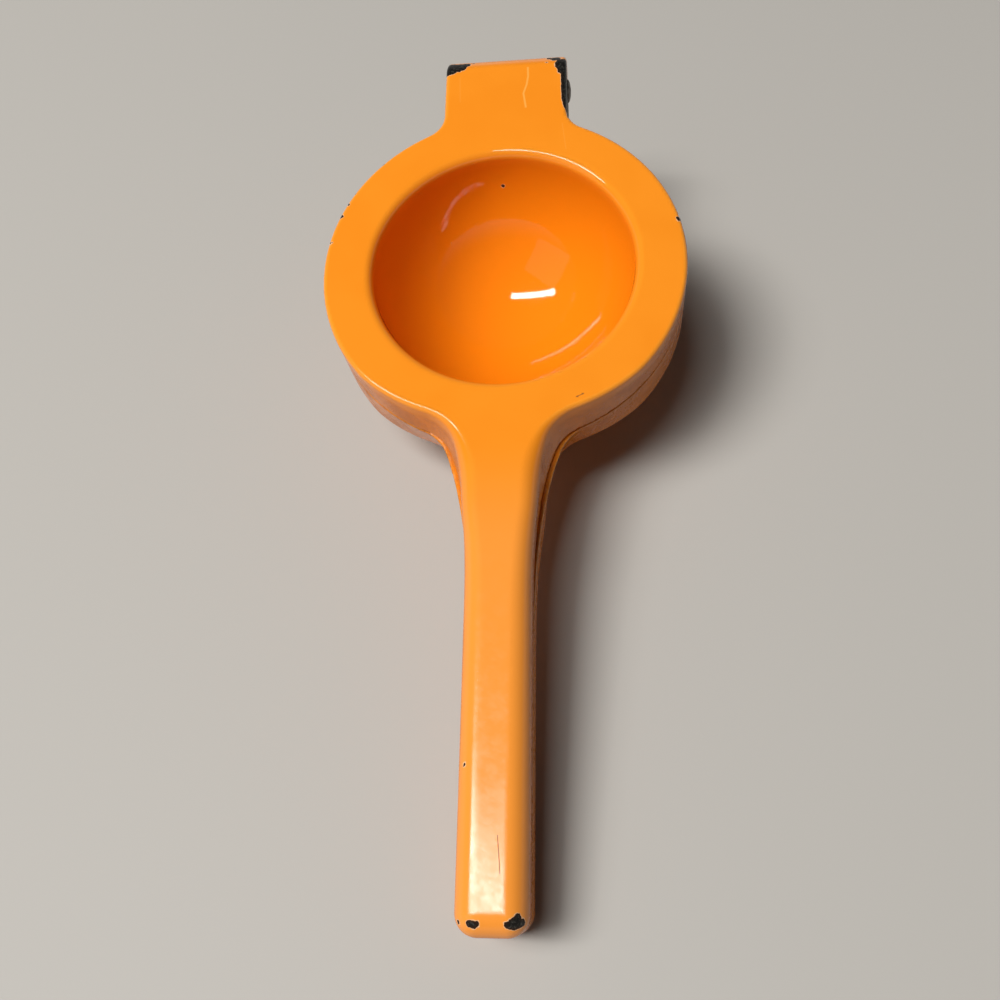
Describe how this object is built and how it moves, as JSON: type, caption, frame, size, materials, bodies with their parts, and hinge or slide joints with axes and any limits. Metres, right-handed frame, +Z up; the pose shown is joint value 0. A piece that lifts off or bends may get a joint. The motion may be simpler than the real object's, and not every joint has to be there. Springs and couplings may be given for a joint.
{
  "type": "hinged citrus squeezer",
  "caption": "Hinged citrus squeezer: a lever with a hollow pressing dome folds down onto a lever with a pierced juice bowl, on a pin behind the bowl, with long handles in front.",
  "frame": {"origin": "middle of the bounding box, on the surface that the closed squeezer lies on", "axes": "+X to the right across the handles, +Y from the handles towards the hinge, +Z up"},
  "size_m": [0.0976, 0.2368, 0.0612],
  "materials": {
    "enamel": "glossy orange enamel on cast aluminium, chipped at the corners",
    "pin_steel": "dull riveted steel"
  },
  "bodies": {
    "lower": {"bowl_half": "enamel"},
    "upper": {"press_half": "enamel", "hinge_pin": "pin_steel"}
  },
  "joints": [
    {"name": "hinge", "type": "hinge", "parent": "lower", "child": "upper", "pos_m": [0, 0.10902, 0.05179], "axis": [-1, 0, 0], "range_deg": [0, 105]}
  ]
}
